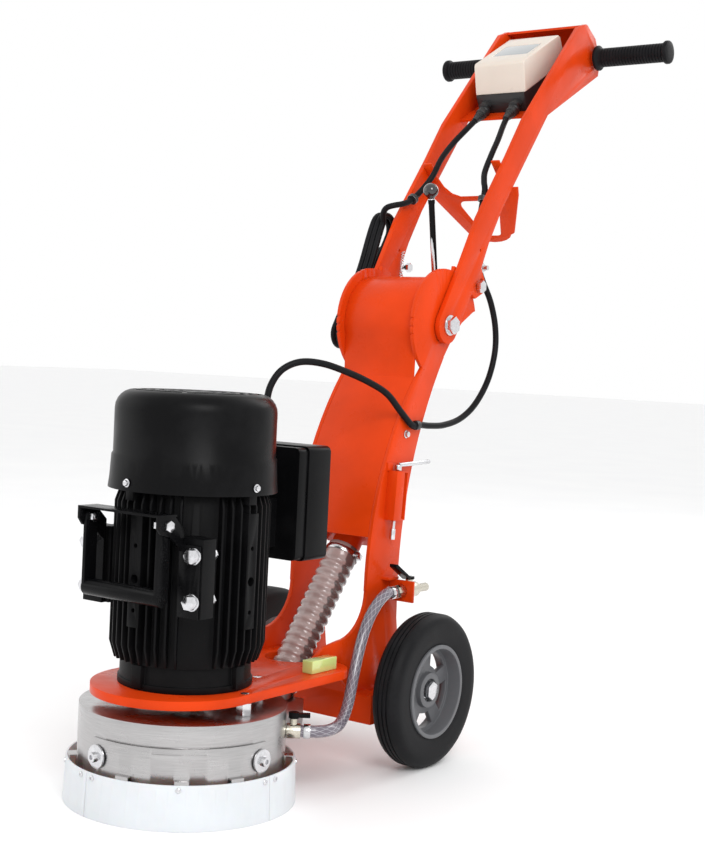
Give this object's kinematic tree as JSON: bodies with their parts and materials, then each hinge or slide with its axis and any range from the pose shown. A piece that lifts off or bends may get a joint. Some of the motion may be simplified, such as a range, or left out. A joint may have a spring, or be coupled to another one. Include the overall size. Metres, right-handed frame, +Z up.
{
  "type": "concrete grinder",
  "caption": "Walk-behind concrete grinder: finned motor over a skirted disc head, twin-plate column on a wheeled axle, folding handle with latch and switch box.",
  "frame": {"origin": "centre of the bounding box's footprint, on the floor", "axes": "+Z up, -Y towards the grinding head, +X towards the machine's left as the operator sees it from behind"},
  "size_m": [0.456, 1.113, 1.208],
  "materials": {
    "orange_powder_coat": "gloss powder coat over steel",
    "satin_black_paint": "satin black paint over cast and pressed metal",
    "black_bracket_paint": "gloss black paint over bent steel",
    "stainless_brushed": "brushed stainless sheet with bright bent tabs",
    "chrome_fasteners": "bright plated bolts, nuts, washers and springs",
    "bright_shaft": "turned steel",
    "nickel_brass": "nickel plated brass with a slight yellow cast",
    "skirt_plastic": "white translucent plastic",
    "rim_grey": "grey moulded wheel centre",
    "tyre_rubber": "solid black rubber with three grooves",
    "hose_clear": "clear ribbed dust hose",
    "water_hose_clear": "clear braided water hose",
    "cable_black": "black rubber sheathed cable",
    "black_plastic": "black moulded plastic",
    "grip_rubber": "black ribbed rubber",
    "cream_plastic": "cream moulded plastic",
    "window_grey": "grey tinted clear flap",
    "button_green": "green push button",
    "button_red": "red push button",
    "level_green": "clear block with a yellow-green vial",
    "laminations": "varnished laminations and windings",
    "disc_grey": "dark tool carrier with sintered segments"
  },
  "bodies": {
    "frame": {"side_plates": "orange_powder_coat", "column_skin": "orange_powder_coat", "bulkhead": "orange_powder_coat", "axle_carrier": "orange_powder_coat", "axle": "bright_shaft", "deck_plate": "orange_powder_coat", "motor_bell": "satin_black_paint", "motor_frame": "satin_black_paint", "fan_cowl": "satin_black_paint", "stator": "laminations", "motor_bearings": "bright_shaft", "shroud": "stainless_brushed", "standoff_bolts": "chrome_fasteners", "rear_skirt": "skirt_plastic", "dust_hose": "hose_clear", "hose_clamps": "stainless_brushed", "water_fitting": "nickel_brass", "water_hose": "water_hose_clear", "ball_valve": "nickel_brass", "bubble_level": "level_green", "terminal_box": "satin_black_paint", "terminal_lid": "satin_black_paint", "lift_bracket": "black_bracket_paint", "frame_bolts": "chrome_fasteners", "tool_holder": "orange_powder_coat", "motor_lead_lower": "cable_black"},
    "spindle": {"rotor": "bright_shaft", "cooling_fan": "satin_black_paint", "disc_hub": "disc_grey", "grinding_disc": "disc_grey"},
    "wheel_left": {"tyre_left": "tyre_rubber", "rim_left": "rim_grey"},
    "wheel_right": {"tyre_right": "tyre_rubber", "rim_right": "rim_grey"},
    "guard": {"edge_door": "stainless_brushed", "front_skirt": "skirt_plastic", "guard_bolts": "chrome_fasteners"},
    "bail": {"lift_bail": "black_bracket_paint"},
    "key": {"tool_key": "chrome_fasteners"},
    "valve_handle": {"valve_lever": "black_bracket_paint"},
    "drain_handle": {"drain_lever": "black_bracket_paint"},
    "handle": {"handle_arms": "orange_powder_coat", "head_panel": "orange_powder_coat", "handlebar": "orange_powder_coat", "grips": "grip_rubber", "brace_plate": "orange_powder_coat", "switch_base": "black_plastic", "switch_cover": "cream_plastic", "motor_lead_upper": "cable_black", "motor_lead_loop": "cable_black", "mains_lead": "cable_black", "mains_hank": "cable_black", "mains_plug": "cable_black", "handle_fittings": "chrome_fasteners", "latch_springs": "chrome_fasteners"},
    "latch": {"latch_rod": "chrome_fasteners", "lever_knob": "black_plastic"},
    "window_flap": {"switch_window": "window_grey"},
    "start_push": {"start_button": "button_green"},
    "stop_push": {"stop_button": "button_red"}
  },
  "joints": [
    {"name": "spindle_spin", "type": "hinge", "parent": "frame", "child": "spindle", "pos_m": [0, -0.401, 0.1], "axis": [0, 0, 1], "continuous": true},
    {"name": "wheel_left_spin", "type": "hinge", "parent": "frame", "child": "wheel_left", "pos_m": [-0.15, -0.038, 0.1135], "axis": [1, 0, 0], "continuous": true},
    {"name": "wheel_right_spin", "type": "hinge", "parent": "frame", "child": "wheel_right", "pos_m": [0.15, -0.038, 0.1135], "axis": [1, 0, 0], "continuous": true},
    {"name": "handle_tilt", "type": "hinge", "parent": "frame", "child": "handle", "pos_m": [0, 0.09, 0.656], "axis": [1, 0, 0], "range_deg": [-15, 110], "deforming": ["motor_lead_loop"]},
    {"name": "latch_lift", "type": "slide", "parent": "handle", "child": "latch", "axis": [0, 0.7793, 0.6266], "range_m": [0, 0.01], "stiffness_N_per_m": 2000, "springref_m": -0.01, "deforming": ["latch_springs"]},
    {"name": "guard_pull", "type": "slide", "parent": "frame", "child": "guard", "axis": [0.6428, -0.766, 0], "range_m": [0, 0.06]},
    {"name": "bail_swing", "type": "hinge", "parent": "frame", "child": "bail", "pos_m": [0, -0.525, 0.378], "axis": [-1, 0, 0], "range_deg": [0, 85]},
    {"name": "key_lift", "type": "slide", "parent": "frame", "child": "key", "axis": [0, 0.0698, 0.9976], "range_m": [0, 0.03]},
    {"name": "valve_turn", "type": "hinge", "parent": "frame", "child": "valve_handle", "pos_m": [0.096, -0.01, 0.268], "axis": [0, 0, 1], "range_deg": [0, 90]},
    {"name": "drain_turn", "type": "hinge", "parent": "frame", "child": "drain_handle", "pos_m": [0.11809, -0.31198, 0.115], "axis": [0, 0, 1], "range_deg": [0, 90]},
    {"name": "window_lift", "type": "hinge", "parent": "handle", "child": "window_flap", "pos_m": [0, 0.42053, 1.16119], "axis": [-1, 0, 0], "range_deg": [0, 100]},
    {"name": "start_press", "type": "slide", "parent": "handle", "child": "start_push", "axis": [0, 0.4924, -0.8704], "range_m": [0, 0.003], "stiffness_N_per_m": 400, "springref_m": -0.006},
    {"name": "stop_press", "type": "slide", "parent": "handle", "child": "stop_push", "axis": [0, 0.4924, -0.8704], "range_m": [0, 0.003], "stiffness_N_per_m": 400, "springref_m": -0.006}
  ]
}
